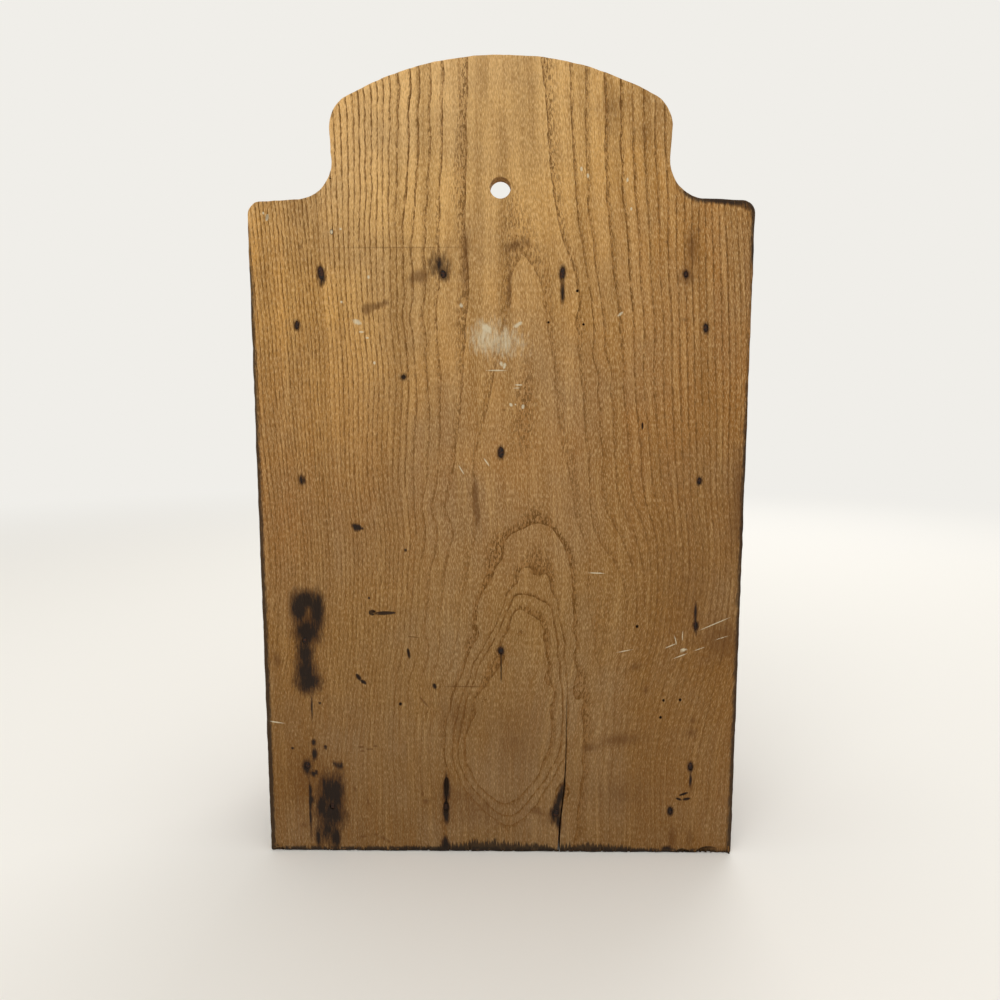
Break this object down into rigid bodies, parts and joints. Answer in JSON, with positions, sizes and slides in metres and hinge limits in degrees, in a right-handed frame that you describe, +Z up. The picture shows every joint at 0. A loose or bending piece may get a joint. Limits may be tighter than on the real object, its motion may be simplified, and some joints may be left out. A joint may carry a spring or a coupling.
{
  "type": "spice cabinet",
  "caption": "Small wall-hung wooden cabinet with stacked little drawers, turned knobs, moulded top and bottom boards, and an arched back board pierced for hanging.",
  "frame": {"origin": "middle of the footprint, level with the lower end of the back board", "axes": "+Z up, drawers face -Y, rear face of the back board looks along +Y, +X to the right of someone facing the drawers"},
  "size_m": [0.273, 0.1354, 0.4457],
  "materials": {
    "back_board": "bare oak, weathered and stained, with iron nails",
    "case": "aged varnish over stained oak, worn at the edges",
    "drawer_front": "aged varnish over stained oak",
    "drawer_box": "bare poplar, darkened by handling",
    "knob": "turned maple, stained and polished by use"
  },
  "bodies": {
    "case": {"back_board": "back_board", "bottom_board": "case", "top_board": "case", "left_side": "case", "right_side": "case", "centre_partition": "case", "shelf_1": "case", "shelf_2": "case", "shelf_3": "case"},
    "drawer_1": {"drawer_1_front": "drawer_front", "drawer_1_left_side": "drawer_box", "drawer_1_right_side": "drawer_box", "drawer_1_back": "drawer_box", "drawer_1_bottom": "drawer_box", "drawer_1_knob": "knob"},
    "drawer_2": {"drawer_2_front": "drawer_front", "drawer_2_left_side": "drawer_box", "drawer_2_right_side": "drawer_box", "drawer_2_back": "drawer_box", "drawer_2_bottom": "drawer_box", "drawer_2_knob": "knob"},
    "drawer_3": {"drawer_3_front": "drawer_front", "drawer_3_left_side": "drawer_box", "drawer_3_right_side": "drawer_box", "drawer_3_back": "drawer_box", "drawer_3_bottom": "drawer_box", "drawer_3_knob": "knob"},
    "drawer_4": {"drawer_4_front": "drawer_front", "drawer_4_left_side": "drawer_box", "drawer_4_right_side": "drawer_box", "drawer_4_back": "drawer_box", "drawer_4_bottom": "drawer_box", "drawer_4_knob": "knob"},
    "drawer_5": {"drawer_5_front": "drawer_front", "drawer_5_left_side": "drawer_box", "drawer_5_right_side": "drawer_box", "drawer_5_back": "drawer_box", "drawer_5_bottom": "drawer_box", "drawer_5_knob": "knob"},
    "drawer_6": {"drawer_6_front": "drawer_front", "drawer_6_left_side": "drawer_box", "drawer_6_right_side": "drawer_box", "drawer_6_back": "drawer_box", "drawer_6_bottom": "drawer_box", "drawer_6_knob": "knob"},
    "drawer_7": {"drawer_7_front": "drawer_front", "drawer_7_left_side": "drawer_box", "drawer_7_right_side": "drawer_box", "drawer_7_back": "drawer_box", "drawer_7_bottom": "drawer_box", "drawer_7_knob": "knob"},
    "drawer_8": {"drawer_8_front": "drawer_front", "drawer_8_left_side": "drawer_box", "drawer_8_right_side": "drawer_box", "drawer_8_back": "drawer_box", "drawer_8_bottom": "drawer_box", "drawer_8_knob": "knob"}
  },
  "joints": [
    {"name": "drawer_1_slide", "type": "slide", "parent": "case", "child": "drawer_1", "axis": [0, -1, 0], "range_m": [0, 0.09]},
    {"name": "drawer_2_slide", "type": "slide", "parent": "case", "child": "drawer_2", "axis": [0, -1, 0], "range_m": [0, 0.09]},
    {"name": "drawer_3_slide", "type": "slide", "parent": "case", "child": "drawer_3", "axis": [0, -1, 0], "range_m": [0, 0.09]},
    {"name": "drawer_4_slide", "type": "slide", "parent": "case", "child": "drawer_4", "axis": [0, -1, 0], "range_m": [0, 0.09]},
    {"name": "drawer_5_slide", "type": "slide", "parent": "case", "child": "drawer_5", "axis": [0, -1, 0], "range_m": [0, 0.09]},
    {"name": "drawer_6_slide", "type": "slide", "parent": "case", "child": "drawer_6", "axis": [0, -1, 0], "range_m": [0, 0.09]},
    {"name": "drawer_7_slide", "type": "slide", "parent": "case", "child": "drawer_7", "axis": [0, -1, 0], "range_m": [0, 0.09]},
    {"name": "drawer_8_slide", "type": "slide", "parent": "case", "child": "drawer_8", "axis": [0, -1, 0], "range_m": [0, 0.09]}
  ]
}
